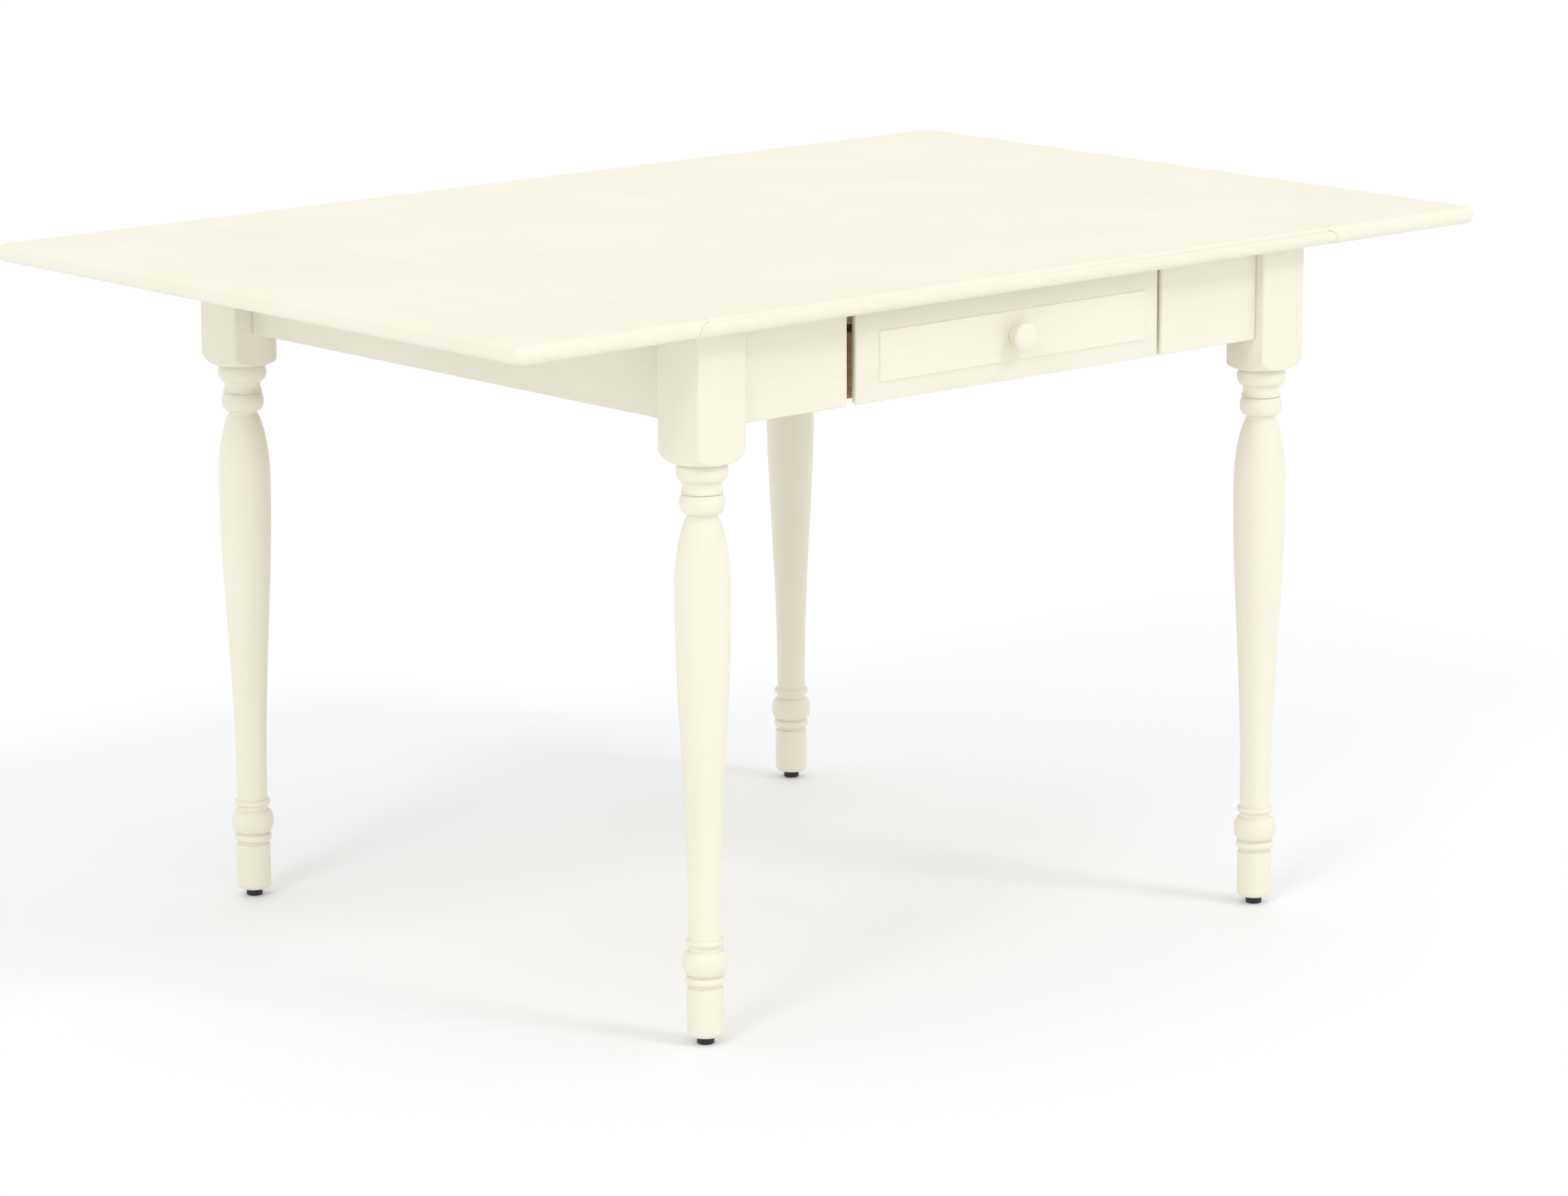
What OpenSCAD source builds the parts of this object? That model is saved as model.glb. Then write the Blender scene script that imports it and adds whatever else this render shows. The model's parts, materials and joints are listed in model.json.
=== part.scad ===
// Drop leaf table: a fixed centre top on four turned legs, a hinged leaf at each end,
// two pull-out supports under each leaf, and one drawer in the front apron.
// Frame: origin on the floor under the middle of the top, +X along the table,
// -Y towards the drawer side, +Z up. Left is -X and front is -Y. Millimetres.

/* [Top] */
// Height of the top surface above the floor
table_h = 762; // [740:1:780]
// Length with both leaves raised
open_l = 1372; // [1350:2:1400]
// Width of the top
top_w = 900; // [880:2:914]
// Thickness of the top and leaves
top_t = 19; // [18:0.5:22]
// Reach of each leaf beyond its joint line
leaf_l = 242; // [228:1:248]
// Radius of the outer corners of the leaves
corner_r = 14; // [12:1:80]
// Rounding of the rim of the top, above and below
rim_r = 9; // [3:0.5:9]

/* [Frame] */
// Side of the square leg block
leg_w = 64; // [60:1:70]
// Overhang of the top beyond the leg block at the front and back
overhang = 29; // [20:1:36]
// Height of the aprons
apron_h = 100; // [96:1:102]
// Thickness of the aprons
apron_t = 20; // [18:1:22]
// Setback of the front and back aprons behind the leg blocks
side_set = 11; // [8:1:13]
// Setback of the end aprons behind the leg blocks
end_set = 24; // [20:1:26]

/* [Drawer] */
// Width of the drawer front
drawer_w = 434; // [400:2:444]
// Depth of the drawer box
drawer_d = 360; // [300:5:380]
// Drawer travel from shut to its stop
drawer_travel = 280; // [200:5:285]
// Diameter of the knob
knob_d = 32; // [28:1:36]

/* [Leaf supports] */
// Distance of each support from the middle of the table
support_y = 190; // [170:1:200]
// Travel of each support
support_travel = 110; // [90:1:112]

/* [Hidden] */
$fn = 64;

paint = [0.96, 0.95, 0.89];
bare_wood = [0.80, 0.68, 0.50];
panel_wood = [0.72, 0.60, 0.43];
steel = [0.74, 0.74, 0.71];
black = [0.08, 0.08, 0.08];

eps = 0.01;                 // overshoot of a cut past a face
fit = 0.05;                 // radial gap round a screw, bolt or dowel
under_z = table_h - top_t;  // underside of the top
joint_x = open_l / 2 - leaf_l;
rim_steps = 8;

// Rule joint between the centre top and a leaf, about the hinge pin
pin_rise = 3;                               // pin above the underside of the top
pivot_z = under_z + pin_rise;
nose_r = 13;                                // rounded nose of the centre top
cove_r = nose_r + 0.4;                      // hollow in the leaf that rides over the nose
joint_gap = 0.4;

// Legs and aprons
leaf_clear = 8;                             // joint line beyond the leg block
leg_x = joint_x - leaf_clear - leg_w / 2;
leg_y = top_w / 2 - overhang - leg_w / 2;
leg_corner = leg_w / 2;
end_face = leg_x + leg_corner - end_set;    // outer face of the end aprons
side_face = leg_y + leg_corner - side_set;  // outer face of the front and back aprons
end_in = end_face - apron_t;
side_in = side_face - apron_t;
apron_z = under_z - apron_h;
apron_round = 4;                            // rounded edge of the front apron at the drawer
glide_h = 8;
glide_r = 9;
glide_pin_r = 1.5;
glide_pin_l = 18;

// Turned part of the leg, from the floor up
foot_r = 19;
foot_top = 60;
waist_r = 16.9;
waist_z = 114;
belly_r = 28.8;
belly_z0 = 462;
belly_z1 = 480;
neck_r = 16;
neck_z = 550;
shoulder_z = 606;
shoulder_h = 20;

// Leg bolts through the corner blocks, measured along the diagonal from the leg axis
leg_chamfer = 10;                           // cut back at the inner corner of the leg block
chamfer_d = (leg_w - leg_chamfer) / sqrt(2);
end_inner = end_set + apron_t - leg_corner; // inner faces of the aprons from the leg axis
side_inner = side_set + apron_t - leg_corner;
block_out_run = 70;                         // corner block faces, where they cross the leg axis line
block_in_run = 101;
block_out = block_out_run / sqrt(2);
block_in = block_in_run / sqrt(2);
block_z0 = apron_z + 6;
block_h = 67;
bolt_r = 3.95;
bolt_zs = [apron_z + 24, apron_z + 58];
washer_t = 1.6;
washer_r = 9;
nut_t = 6.5;
nut_r = 7.5;
bolt_from = -6;
bolt_to = block_in + washer_t + nut_t + 5;

// Drawer box and its runners, across the table
box_x = drawer_w / 2 - 7;                   // outer face of the drawer sides
runner_x = box_x + 1.5;
runner_w = 26;
runner_lip = 22;                            // part of the runner under the drawer side

// Leaf supports
slide_w = 28;
slide_h = 32;
slide_gap = 0.4;
slide_top = under_z - 0.5;                  // stays clear of the raised leaf
slide_z = slide_top - slide_h;
slide_x0 = runner_x + runner_w + 3;
slide_x1 = end_face - 0.5;
slide_l = slide_x1 - slide_x0;
rail_t = 12;
rail_x0 = slide_x0 + 2;
rail_z = slide_z - 0.5;
keeper_t = 12;
peg_r = 4.5;
peg_x = slide_x0 + 14;
peg_drop = 26;                              // peg below the support, as the finger pull
peg_in = 18;

// Hinges
hinge_pitch = 330;
hinge_ys = [-hinge_pitch, 0, hinge_pitch];
hinge_len = 60;
knuckles = 5;
knuckle_l = hinge_len / knuckles;
knuckle_gap = 0.3;
barrel_r = 3;
pin_r = 1.2;
plate_t = 1.5;
plate_edge = 3.6;                           // inner edge of a plate from the pin
fixed_plate_l = 46;
leaf_plate_l = 48;
hinge_screw_r = 1.7;
hinge_screw_l = 14;
hinge_screw_dy = 20;                        // outer screws from the middle of each hinge
fixed_screw_in = 6;                         // screw row from the far edge of the fixed plate
leaf_screw_x0 = 24;                         // screws of the leaf plate from the pin
leaf_screw_x1 = 43;

// Screws that fasten the wooden parts
keeper_screw_r = 2;
keeper_screw_l = 55;
keeper_screw_in = 11;                       // how far it reaches into the top
keeper_screw_x0 = rail_x0 + 22;
keeper_screw_x1 = end_in - 20;
bracket_screw_r = 1.9;
bracket_screw_l = 14;
bracket_leg = 22;
bracket_w = 18;
bracket_t = 2;
bracket_mid = 0.6 * bracket_leg;            // screw hole from the corner of the bracket
bracket_y = 100;                            // brackets on the end aprons
bracket_x = 150;                            // brackets on the back apron
bracket_places = [                          // corner of each bracket and its turn
    [end_in, -bracket_y, 0], [end_in, bracket_y, 0],
    [-end_in, -bracket_y, 180], [-end_in, bracket_y, 180],
    [-bracket_x, side_in, 90], [bracket_x, side_in, 90]
];
stretcher_w = 60;
stretcher_h = 18;
stretcher_screw_xs = [-320, -140, 140, 320];
stretcher_screw_l = 30;

// Drawer
opening_gap = 8;                            // apron end to drawer front, each side
opening_x = drawer_w / 2 + opening_gap;
front_z0 = apron_z + 0.5;
front_z1 = under_z - 2.5;
front_t = 22.2;
front_back_y = front_t - leg_y - leg_corner; // drawer front flush with the leg blocks
bevel_side = 26;
bevel_end = 22;
bevel_drop = 6;
field_step = 1.5;
lip_t = 4;                                  // thickness of the lips that reach past the drawer sides
runner_foot_z = apron_z + 3;
runner_foot_h = 14;
box_z0 = runner_foot_z + runner_foot_h + 0.3;
box_h = 56;
board_t = 12;
box_y1 = front_back_y + drawer_d;
bottom_t = 4;
bottom_z = box_z0 + 6;
groove = 4.5;
knob_z = (front_z0 + front_z1) / 2;
knob_y = front_back_y - front_t;
knob_screw_r = 2;
knob_screw_in = 13;
stop_w = 60;
stop_t = 14;
dowel_r = 3;
dowel_l = 24;
dowel_in = 12;                              // length of a dowel in the drawer front
dowel_zs = [box_z0 + 18, box_z0 + 42];
back_screw_r = 1.6;
back_screw_l = 30;
back_screw_zs = [bottom_z + 16, bottom_z + 38];

// ---- Helpers ----

// Builds a right-hand part in place, or its mirror image on the left
module on_side(side) {
    if (side > 0) children();
    else mirror([1, 0, 0]) children();
}

// Turns a leg-corner shape, drawn with its inner corner towards +X +Y, to one of four corners
module at_corner(sx, sy) {
    turn = sx < 0 ? (sy < 0 ? 0 : 270) : (sy < 0 ? 90 : 180);
    translate([sx * leg_x, sy * leg_y, 0]) rotate([0, 0, turn]) children();
}

// Points the local +Z axis along the diagonal, at height z
module along_diagonal(z, d) {
    translate([d / sqrt(2), d / sqrt(2), z]) rotate([0, 0, 45]) rotate([0, 90, 0]) children();
}

module along_y(x, y, z) {
    translate([x, y, z]) rotate([-90, 0, 0]) children();
}

module box_between(a, b) {
    translate(a) cube(b - a);
}

// Flat-head screw: head face at z = 0, tip upward, with a cross recess
module flat_screw(r, head_r, head_h, length) {
    difference() {
        union() {
            cylinder(h = head_h, r1 = head_r, r2 = r);
            cylinder(h = length, r = r);
        }
        for (a = [0, 90]) {
            rotate([0, 0, a]) translate([-head_r * 0.55, -0.4, -eps]) cube([head_r * 1.1, 0.8, 0.8]);
        }
    }
}

// Pan-head screw: underside of the head at z = 0, tip upward
module pan_screw(r, length) {
    difference() {
        union() {
            translate([0, 0, -1]) cylinder(h = 1, r = 2 * r);
            translate([0, 0, -2]) cylinder(h = 1, r1 = 1.5 * r, r2 = 2 * r);
            cylinder(h = length, r = r);
        }
        for (a = [0, 90]) {
            rotate([0, 0, a]) translate([-r, -0.4, -2 - eps]) cube([2 * r, 0.8, 1]);
        }
    }
}

// ---- Turned outlines, as [radius, height] points ----

// Half-round bead from z0 to z1 that swells from radius r0 to r1
function bead(z0, z1, r0, r1, n = 10) = [
    for (i = [0 : n]) let (a = -90 + 180 * i / n)
        [r0 + (r1 - r0) * cos(a), (z0 + z1) / 2 + (z1 - z0) / 2 * sin(a)]
];

function ease(t) = t * t * (3 - 2 * t);

// Slow swell of the shaft from its waist to the belly
function swell(z0, z1, r0, r1, n) = [
    for (i = [0 : n]) let (t = i / n) [r0 + (r1 - r0) * ease(pow(t, 1.15)), z0 + (z1 - z0) * t]
];

// Quick curve of the shaft from the belly in to the neck
function draw_in(z0, z1, r0, r1, n) = [
    for (i = [1 : n]) let (u = i / n)
        [r1 + (r0 - r1) * pow(max(cos(90 * u), 0), 0.7), z0 + (z1 - z0) * u]
];

// Shallow hollow from z0 to z1 that dips below radius r by depth
function hollow(z0, z1, r, depth, n = 6) = [
    for (i = [0 : n]) [r - depth * sin(180 * i / n), z0 + (z1 - z0) * i / n]
];

// Quarter-round growth from r0 at z0 to r1 at z1
function quarter(z0, z1, r0, r1, n = 8) = [
    for (i = [0 : n]) let (a = 90 * i / n) [r0 + (r1 - r0) * sin(a), z0 + (z1 - z0) * (1 - cos(a))]
];

// Rounded rim of the top, as [reach, height] points from its underside up
function rim(reach) = [
    for (up = [0, 1], i = [0 : rim_steps]) let (a = 90 * (i / rim_steps + up - 1))
        [reach - rim_r + rim_r * cos(a), (up == 1 ? top_t - rim_r : rim_r) + rim_r * sin(a)]
];

leg_outline = concat(
    [[0, glide_h]],
    quarter(glide_h, glide_h + 6, foot_r - 5.5, foot_r, 5),
    [[foot_r, foot_top - 1], [foot_r - 1, foot_top], [16.5, foot_top], [16.5, 64]],
    bead(64, 71.5, 18.8, 20.8, 6),
    [[17.4, 71.5], [17.4, 73.5]],
    bead(73.5, 99, 17.5, 23.5, 12),
    [[17, 99], [17, 105]],
    bead(105, 111, 18.3, 20.3, 6),
    [[waist_r, 111]],
    swell(waist_z, belly_z0, waist_r, belly_r, 28),
    draw_in(belly_z1, neck_z, belly_r, neck_r, 14),
    [[neck_r, 554]],
    bead(554, 575, 18, 23.3, 10),
    [[21.6, 575], [21.6, 576.5]],
    hollow(576.5, 586.5, 21, 1),
    [[21.6, 586.5], [21.6, 588]],
    bead(588, shoulder_z, 22.6, 26.8, 10),
    [[0, shoulder_z]]
);

shoulder_outline = concat(
    [[0, shoulder_z]],
    quarter(shoulder_z, shoulder_z + shoulder_h, 27, leg_corner * sqrt(2) + 1, 10),
    [[leg_corner * sqrt(2) + 1, under_z], [0, under_z]]
);

// ---- Legs ----

module leg(sx, sy) color(paint) at_corner(sx, sy) {
    difference() {
        union() {
            rotate_extrude($fn = 96) polygon(leg_outline);
            intersection() {
                translate([-leg_corner, -leg_corner, shoulder_z])
                    cube([leg_w, leg_w, under_z - shoulder_z]);
                rotate_extrude($fn = 96) polygon(shoulder_outline);
            }
        }
        // flat across the inner corner, where the bolts enter
        along_diagonal(shoulder_z, chamfer_d)
            translate([-(under_z - shoulder_z) - eps, -20, 0])
            cube([under_z - shoulder_z + 2 * eps, 40, 20]);
        for (z = bolt_zs) along_diagonal(z, bolt_from - 0.5) cylinder(h = 60, r = bolt_r + fit);
        translate([0, 0, glide_h - eps]) cylinder(h = glide_pin_l + 1, r = glide_pin_r + fit);
    }
}

module foot_glides() color(black) {
    for (sx = [-1, 1], sy = [-1, 1]) translate([sx * leg_x, sy * leg_y, 0]) {
        rotate_extrude() polygon([
            [0, 0], [glide_r - 1.2, 0], [glide_r - 0.3, 0.5], [glide_r, 1.4],
            [glide_r, 5], [glide_r - 1.5, glide_h], [0, glide_h]
        ]);
        cylinder(h = glide_h + glide_pin_l, r = glide_pin_r);
    }
}

// ---- Aprons ----

// Half of the front apron: from the leg to the drawer opening, with a rounded free edge
module apron_front(side) color(paint) on_side(side) {
    r = apron_round;
    translate([0, 0, apron_z]) linear_extrude(apron_h) {
        translate([opening_x + r, -side_face]) square([leg_x - leg_corner - opening_x - r, apron_t]);
        translate([opening_x, -side_face + r]) square([r + eps, apron_t - r]);
        translate([opening_x + r, -side_face + r]) circle(r);
    }
}

module apron_back() color(paint) difference() {
    box_between([-leg_x + leg_corner, side_in, apron_z], [leg_x - leg_corner, side_face, under_z]);
    bracket_wall_holes();
}

// End apron with an open notch at the top for each support
module apron_end(side) color(paint) on_side(side) difference() {
    box_between([end_in, -leg_y + leg_corner, apron_z], [end_face, leg_y - leg_corner, under_z]);
    for (row = [-1, 1]) {
        translate([end_in - eps, row * support_y - slide_w / 2 - slide_gap, rail_z])
            cube([apron_t + 2 * eps, slide_w + 2 * slide_gap, slide_h + 5]);
    }
    bracket_wall_holes();
}

// Board over the drawer; its tongue fills the opening behind the drawer front and stops it
module front_stretcher() color(bare_wood) difference() {
    union() {
        box_between([-leg_x + leg_corner, -side_in, under_z - stretcher_h],
                    [leg_x - leg_corner, -side_in + stretcher_w, under_z]);
        box_between([-opening_x + 1, front_back_y + 0.3, under_z - stretcher_h],
                    [opening_x - 1, -side_in + 1, under_z]);
    }
    for (x = stretcher_screw_xs) {
        translate([x, -side_in + stretcher_w / 2, under_z - stretcher_h - eps])
            cylinder(h = stretcher_h + 1, r = bracket_screw_r + fit);
    }
}

module drawer_stop_block() color(bare_wood) {
    stop_y = box_y1 - board_t - drawer_travel - 0.5;
    stop_z = box_z0 + box_h - 8;
    translate([-stop_w / 2, stop_y - stop_t, stop_z])
        cube([stop_w, stop_t, under_z - stretcher_h - stop_z]);
}

// Wooden L-shaped runner from the front apron to the back apron
module drawer_runner(side) color(bare_wood) on_side(side) {
    translate([runner_x, -side_in, runner_foot_z])
        cube([runner_w, 2 * side_in, under_z - stretcher_h - 3 - runner_foot_z]);
    translate([runner_x - runner_lip, -side_in, runner_foot_z])
        cube([runner_lip, 2 * side_in, runner_foot_h]);
}

// ---- Corner blocks and leg bolts ----

module corner_block(sx, sy) color(bare_wood) at_corner(sx, sy) difference() {
    a = sx == sy ? end_inner : side_inner;
    b = sx == sy ? side_inner : end_inner;
    translate([0, 0, block_z0]) linear_extrude(block_h) polygon([
        [a, block_out_run - a], [a, block_in_run - a],
        [block_in_run - b, b], [block_out_run - b, b]
    ]);
    for (z = bolt_zs) along_diagonal(z, block_out - 2) cylinder(h = 30, r = bolt_r + 0.6);
}

module each_bolt() {
    for (sx = [-1, 1], sy = [-1, 1], z = bolt_zs) at_corner(sx, sy) along_diagonal(z, 0) children();
}

module leg_bolts() color(steel) each_bolt() translate([0, 0, bolt_from]) {
    cylinder(h = bolt_to - bolt_from - 1, r = bolt_r);
    translate([0, 0, bolt_to - bolt_from - 1]) cylinder(h = 1, r1 = bolt_r, r2 = bolt_r - 0.8);
}

module leg_bolt_washers() color(steel) each_bolt() translate([0, 0, block_in]) difference() {
    cylinder(h = washer_t, r = washer_r);
    translate([0, 0, -eps]) cylinder(h = washer_t + 2 * eps, r = bolt_r + 0.4);
}

module leg_bolt_nuts() color(steel) each_bolt()
    translate([0, 0, block_in + washer_t]) difference() {
        cylinder(h = nut_t, r = nut_r, $fn = 6);
        translate([0, 0, -eps]) cylinder(h = nut_t + 2 * eps, r = bolt_r + fit);
    }

// ---- Centre top and leaves ----

// Slab of the top's cross-section, from x0 to x1
module slab(x0, x1) {
    translate([x0, 0, under_z]) rotate([90, 0, 90]) linear_extrude(x1 - x0)
        for (s = [0, 1]) mirror([s, 0])
            polygon(concat([[-eps, 0]], rim(top_w / 2), [[-eps, top_t]]));
}

module top_centre() color(paint) difference() {
    intersection() {
        slab(-joint_x - nose_r - 1, joint_x + nose_r + 1);
        union() {
            box_between([-joint_x, -top_w / 2 - 1, under_z - 1], [joint_x, top_w / 2 + 1, table_h + 1]);
            for (side = [-1, 1]) on_side(side) top_nose();
        }
    }
    for (side = [-1, 1]) on_side(side) {
        for (y = hinge_ys) translate([joint_x, y, pivot_z]) fixed_hinge_recess();
        for (y = hinge_ys) each_fixed_screw(y) translate([0, 0, -eps])
            cylinder(h = hinge_screw_l + 0.4, r = hinge_screw_r + fit);
        for (row = [-1, 1]) each_keeper_screw(row) pilot(under_z, keeper_screw_r, keeper_screw_in);
    }
    for (p = bracket_places) {
        translate([p[0], p[1], 0]) rotate([0, 0, p[2]]) translate([-bracket_mid, 0, 0])
            pilot(under_z, bracket_screw_r, bracket_screw_l);
    }
    for (x = stretcher_screw_xs) {
        translate([x, -side_in + stretcher_w / 2, 0])
            pilot(under_z, bracket_screw_r, stretcher_screw_l - stretcher_h + 1);
    }
}

module pilot(z, r, depth) {
    translate([0, 0, z - eps]) cylinder(h = depth, r = r + fit);
}

// Rounded nose of the rule joint: quarter round about the pin, square below it
module top_nose() {
    end = top_w / 2 + 1;
    box_between([joint_x - eps, -end, under_z - 1], [joint_x + nose_r, end, pivot_z]);
    intersection() {
        along_y(joint_x, -end, pivot_z) cylinder(h = 2 * end, r = nose_r, $fn = 128);
        box_between([joint_x - eps, -end - 1, pivot_z - eps],
                    [joint_x + nose_r + 1, end + 1, pivot_z + nose_r + 1]);
    }
}

module fixed_hinge_recess() {
    half = hinge_len / 2 + 0.3;
    box_between([-plate_edge - fixed_plate_l - 0.2, -half, -pin_rise - eps],
                [-plate_edge + eps, half, plate_t - pin_rise]);
    box_between([-barrel_r - 1.6, -half, -pin_rise - eps], [barrel_r + 1.6, half, barrel_r + 0.4]);
    box_between([barrel_r, -half, -pin_rise - eps], [nose_r + 1, half, plate_t - pin_rise + 0.4]);
}

// Leaf before its joint is cut: the rim runs round its two outer corners
module leaf_board() {
    inner = joint_x + joint_gap;
    hull() {
        slab(inner, inner + 1);
        for (s = [-1, 1]) translate([open_l / 2 - corner_r, s * (top_w / 2 - corner_r), under_z])
            rotate_extrude($fn = 32) polygon(concat([[0, 0]], rim(corner_r), [[0, top_t]]));
    }
}

module leaf(side) color(paint) on_side(side) difference() {
    leaf_board();
    along_y(joint_x, -top_w / 2 - 1, pivot_z) cylinder(h = top_w + 2, r = cove_r, $fn = 128);
    box_between([joint_x - 1, -top_w / 2 - 1, under_z - 1],
                [joint_x + cove_r, top_w / 2 + 1, pivot_z]);
    for (y = hinge_ys) {
        translate([joint_x, y, pivot_z])
            box_between([cove_r - 1, -hinge_len / 2 - 0.2, -pin_rise - eps],
                        [plate_edge + leaf_plate_l + 0.2, hinge_len / 2 + 0.2, plate_t - pin_rise]);
        each_leaf_screw(y) cylinder(h = hinge_screw_l + 0.4, r = hinge_screw_r + fit);
    }
}

// ---- Hinges ----

module each_leaf_screw(y) {
    places = [[leaf_screw_x0, -hinge_screw_dy], [leaf_screw_x0, hinge_screw_dy], [leaf_screw_x1, 0]];
    for (p = places) translate([joint_x + p[0], y + p[1], under_z]) children();
}

module each_fixed_screw(y) {
    x = joint_x - plate_edge - fixed_plate_l + fixed_screw_in;
    for (i = [-1 : 1]) translate([x, y + i * hinge_screw_dy, under_z]) children();
}

// Knuckles from index first, every second one, with a tab to the plate on the side dir
module knuckle_row(first, dir) {
    for (i = [first : 2 : knuckles - 1]) {
        y0 = -hinge_len / 2 + i * knuckle_l + knuckle_gap / 2;
        along_y(0, y0, 0) cylinder(h = knuckle_l - knuckle_gap, r = barrel_r);
        translate([dir > 0 ? 1 : -plate_edge - 1, y0, -pin_rise])
            cube([plate_edge, knuckle_l - knuckle_gap, plate_t]);
    }
}

module hinge_fixed_plates(side) color(steel) on_side(side) {
    for (y = hinge_ys) difference() {
        translate([joint_x, y, pivot_z]) difference() {
            union() {
                translate([-plate_edge - fixed_plate_l, -hinge_len / 2, -pin_rise])
                    cube([fixed_plate_l, hinge_len, plate_t]);
                knuckle_row(0, -1);
            }
            along_y(0, -hinge_len, 0) cylinder(h = 2 * hinge_len, r = pin_r + 0.02);
        }
        each_fixed_screw(y) screw_seat();
    }
}

module hinge_leaf_plates(side) color(steel) on_side(side) {
    for (y = hinge_ys) difference() {
        translate([joint_x, y, pivot_z]) difference() {
            union() {
                translate([plate_edge, -hinge_len / 2, -pin_rise])
                    cube([leaf_plate_l, hinge_len, plate_t]);
                knuckle_row(1, 1);
            }
            along_y(0, -hinge_len, 0) cylinder(h = 2 * hinge_len, r = pin_r + 0.06);
        }
        each_leaf_screw(y) screw_seat();
    }
}

module screw_seat() {
    translate([0, 0, -eps])
        cylinder(h = plate_t + 2 * eps, r1 = hinge_screw_r + 1.7, r2 = hinge_screw_r + 0.15);
}

module hinge_pins(side) color(steel) on_side(side) {
    for (y = hinge_ys) {
        along_y(joint_x, y - hinge_len / 2, pivot_z) cylinder(h = hinge_len, r = pin_r);
    }
}

module hinge_screw() {
    flat_screw(hinge_screw_r, hinge_screw_r + 1.5, plate_t, hinge_screw_l);
}

module hinge_fixed_screws(side) color(steel) on_side(side) {
    for (y = hinge_ys) each_fixed_screw(y) hinge_screw();
}

module hinge_leaf_screws(side) color(steel) on_side(side) {
    for (y = hinge_ys) each_leaf_screw(y) hinge_screw();
}

// ---- Leaf supports ----

module support(side, row) color(bare_wood) on_side(side) difference() {
    translate([slide_x0, row * support_y - slide_w / 2, slide_z]) cube([slide_l, slide_w, slide_h]);
    translate([peg_x, row * support_y, slide_z - eps]) cylinder(h = peg_in + 0.3, r = peg_r + fit);
}

module support_peg(side, row) color(bare_wood) on_side(side) {
    translate([peg_x, row * support_y, slide_z - peg_drop]) {
        cylinder(h = 2, r1 = peg_r - 1.5, r2 = peg_r);
        translate([0, 0, 2]) cylinder(h = peg_drop + peg_in - 2, r = peg_r);
    }
}

module support_rails(side) color(bare_wood) on_side(side) {
    for (row = [-1, 1]) difference() {
        for (s = [-1, 1]) {
            y = row * support_y + s * (slide_w / 2 + slide_gap + rail_t / 2);
            translate([rail_x0, y - rail_t / 2, rail_z])
                cube([end_in - rail_x0, rail_t, under_z - rail_z]);
        }
        each_keeper_screw(row) translate([0, 0, rail_z - eps])
            cylinder(h = under_z - rail_z + 2 * eps, r = keeper_screw_r + fit);
    }
}

// Board under the rails that carries the support; its slot stops the peg at both ends
module support_keepers(side) color(bare_wood) on_side(side) {
    half = slide_w / 2 + slide_gap + rail_t;
    slot_r = peg_r + 0.4;
    for (row = [-1, 1]) difference() {
        translate([rail_x0, row * support_y - half, rail_z - keeper_t])
            cube([end_in - rail_x0, 2 * half, keeper_t]);
        translate([peg_x, row * support_y, rail_z - keeper_t - eps]) {
            cylinder(h = keeper_t + 2 * eps, r = slot_r);
            translate([support_travel, 0, 0]) cylinder(h = keeper_t + 2 * eps, r = slot_r);
            translate([0, -slot_r, 0]) cube([support_travel, 2 * slot_r, keeper_t + 2 * eps]);
        }
        each_keeper_screw(row) translate([0, 0, rail_z - keeper_t - eps]) {
            cylinder(h = keeper_t + 2 * eps, r = keeper_screw_r + fit);
            cylinder(h = 2.2, r1 = keeper_screw_r + 2.2, r2 = keeper_screw_r + fit);
        }
    }
}

module each_keeper_screw(row) {
    for (x = [keeper_screw_x0, keeper_screw_x1], s = [-1, 1]) {
        translate([x, row * support_y + s * (slide_w / 2 + slide_gap + rail_t / 2), 0]) children();
    }
}

module keeper_screws() color(steel) {
    for (side = [-1, 1], row = [-1, 1]) on_side(side) each_keeper_screw(row) {
        translate([0, 0, rail_z - keeper_t])
            flat_screw(keeper_screw_r, keeper_screw_r + 2, 2, keeper_screw_l);
    }
}

// ---- Brackets that hold the top ----

module each_bracket() {
    for (p = bracket_places) translate([p[0], p[1], under_z]) rotate([0, 0, p[2]]) children();
}

// Screw hole in the apron: along +X of the bracket, at mid height of its wall leg
module bracket_wall_hole() {
    translate([-bracket_t - eps, 0, -bracket_mid]) rotate([0, 90, 0])
        cylinder(h = bracket_screw_l + bracket_t + 0.4, r = bracket_screw_r + fit);
}

module bracket_wall_holes() {
    each_bracket() bracket_wall_hole();
}

module top_brackets() color(steel) each_bracket() difference() {
    union() {
        translate([-bracket_t, -bracket_w / 2, -bracket_leg]) cube([bracket_t, bracket_w, bracket_leg]);
        translate([-bracket_leg, -bracket_w / 2, -bracket_t]) cube([bracket_leg, bracket_w, bracket_t]);
    }
    bracket_wall_hole();
    translate([-bracket_mid, 0, -bracket_t - eps])
        cylinder(h = bracket_t + 2 * eps, r = bracket_screw_r + fit);
}

module top_screws() color(steel) {
    each_bracket() {
        translate([-bracket_t, 0, -bracket_mid]) rotate([0, 90, 0])
            pan_screw(bracket_screw_r, bracket_screw_l);
        translate([-bracket_mid, 0, -bracket_t]) pan_screw(bracket_screw_r, bracket_screw_l);
    }
    for (x = stretcher_screw_xs) {
        translate([x, -side_in + stretcher_w / 2, under_z - stretcher_h])
            pan_screw(bracket_screw_r, stretcher_screw_l);
    }
}

// ---- Drawer ----

// Section of the drawer front: half-length a, bevel width b, depth measured towards the front
function panel_outline(a, b) = [
    [-a, 0], [a, 0], [a, front_t - bevel_drop - field_step],
    [a - b, front_t - field_step], [a - b, front_t], [-a + b, front_t],
    [-a + b, front_t - field_step], [-a, front_t - bevel_drop - field_step]
];

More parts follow.
